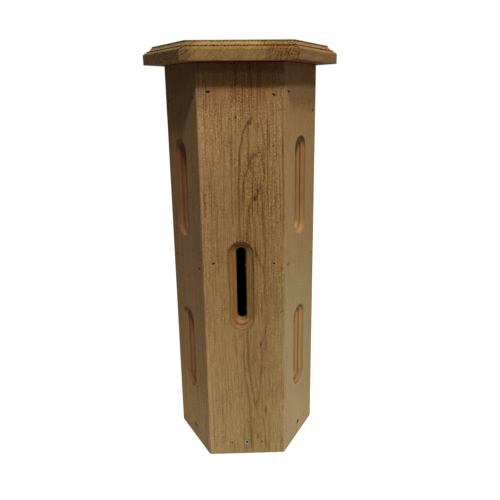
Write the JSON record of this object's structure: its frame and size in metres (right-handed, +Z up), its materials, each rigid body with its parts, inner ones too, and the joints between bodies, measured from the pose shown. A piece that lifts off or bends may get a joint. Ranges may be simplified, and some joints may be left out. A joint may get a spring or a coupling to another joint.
{
  "type": "butterfly house",
  "caption": "Tall hexagonal wooden house with moulded slots round its mitred panels, a flat moulded roof board and an inset floor.",
  "frame": {"origin": "middle of the footprint, on the ground under the bottom ends of the panels", "axes": "+Z up, -Y out of the front panel, +X to the right as seen from the front"},
  "size_m": [0.2182, 0.176, 0.4765],
  "materials": {
    "panel_wood": "rough sawn, bare",
    "roof_wood": "bare, moulded edge",
    "floor_wood": "bare",
    "nail_steel": "dull, weathered",
    "screw_steel": "zinc plated"
  },
  "bodies": {
    "root": {"front_panel": "panel_wood", "front_right_panel": "panel_wood", "back_right_panel": "panel_wood", "back_panel": "panel_wood", "back_left_panel": "panel_wood", "front_left_panel": "panel_wood", "roof_board": "roof_wood", "floor_board": "floor_wood", "corner_nails": "nail_steel", "roof_nails": "nail_steel", "floor_nails": "nail_steel", "floor_screws": "screw_steel"}
  },
  "joints": []
}
